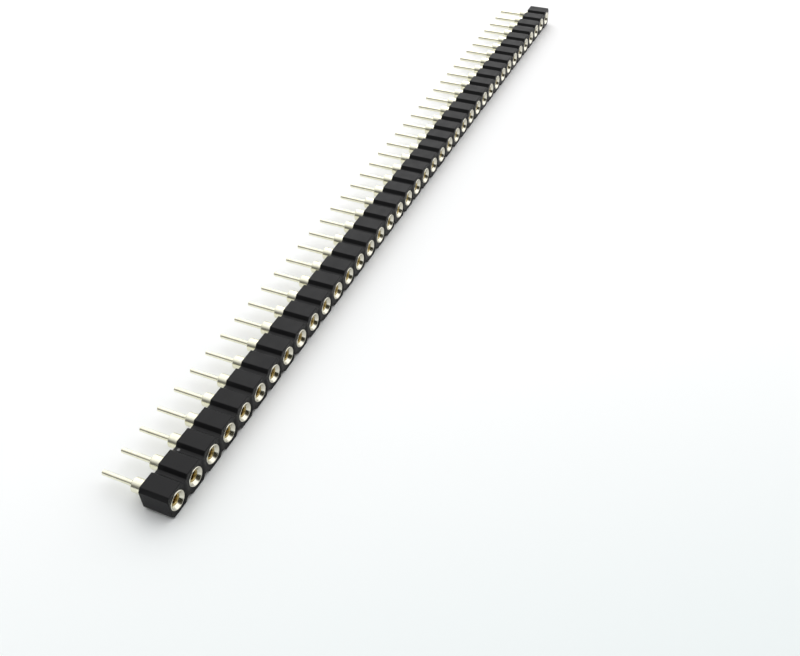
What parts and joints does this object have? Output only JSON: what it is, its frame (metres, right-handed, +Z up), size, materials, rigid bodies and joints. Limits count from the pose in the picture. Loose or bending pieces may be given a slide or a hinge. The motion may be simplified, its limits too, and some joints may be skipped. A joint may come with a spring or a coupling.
{
  "type": "female pin header",
  "caption": "Long single-row break-away socket strip: black moulded octagonal units on a 0.1 inch pitch, each with a turned round-mouth contact and a straight solder tail.",
  "frame": {"origin": "middle of the strip's box in X and Y, on the surface that it lies on", "axes": "+X along the row, +Y from the mating mouths to the solder tails, +Z up"},
  "size_m": [0.1012, 0.0074, 0.0025],
  "materials": {
    "black_plastic": "satin glass-filled moulding",
    "plated_brass": "bright plated, turned",
    "gilt_spring": "gilt sheet metal"
  },
  "bodies": {
    "root": {"housing": "black_plastic", "contact_sleeve_01": "plated_brass", "contact_sleeve_02": "plated_brass", "contact_sleeve_03": "plated_brass", "contact_sleeve_04": "plated_brass", "contact_sleeve_05": "plated_brass", "contact_sleeve_06": "plated_brass", "contact_sleeve_07": "plated_brass", "contact_sleeve_08": "plated_brass", "contact_sleeve_09": "plated_brass", "contact_sleeve_10": "plated_brass", "contact_sleeve_11": "plated_brass", "contact_sleeve_12": "plated_brass", "contact_sleeve_13": "plated_brass", "contact_sleeve_14": "plated_brass", "contact_sleeve_15": "plated_brass", "contact_sleeve_16": "plated_brass", "contact_sleeve_17": "plated_brass", "contact_sleeve_18": "plated_brass", "contact_sleeve_19": "plated_brass", "contact_sleeve_20": "plated_brass", "contact_sleeve_21": "plated_brass", "contact_sleeve_22": "plated_brass", "contact_sleeve_23": "plated_brass", "contact_sleeve_24": "plated_brass", "contact_sleeve_25": "plated_brass", "contact_sleeve_26": "plated_brass", "contact_sleeve_27": "plated_brass", "contact_sleeve_28": "plated_brass", "contact_sleeve_29": "plated_brass", "contact_sleeve_30": "plated_brass", "contact_sleeve_31": "plated_brass", "contact_sleeve_32": "plated_brass", "contact_sleeve_33": "plated_brass", "contact_sleeve_34": "plated_brass", "contact_sleeve_35": "plated_brass", "contact_sleeve_36": "plated_brass", "contact_sleeve_37": "plated_brass", "contact_sleeve_38": "plated_brass", "contact_sleeve_39": "plated_brass", "contact_sleeve_40": "plated_brass", "spring_clips_01_to_04": "gilt_spring", "spring_clips_05_to_08": "gilt_spring", "spring_clips_09_to_12": "gilt_spring", "spring_clips_13_to_16": "gilt_spring", "spring_clips_17_to_20": "gilt_spring", "spring_clips_21_to_24": "gilt_spring", "spring_clips_25_to_28": "gilt_spring", "spring_clips_29_to_32": "gilt_spring", "spring_clips_33_to_36": "gilt_spring", "spring_clips_37_to_40": "gilt_spring"}
  },
  "joints": []
}
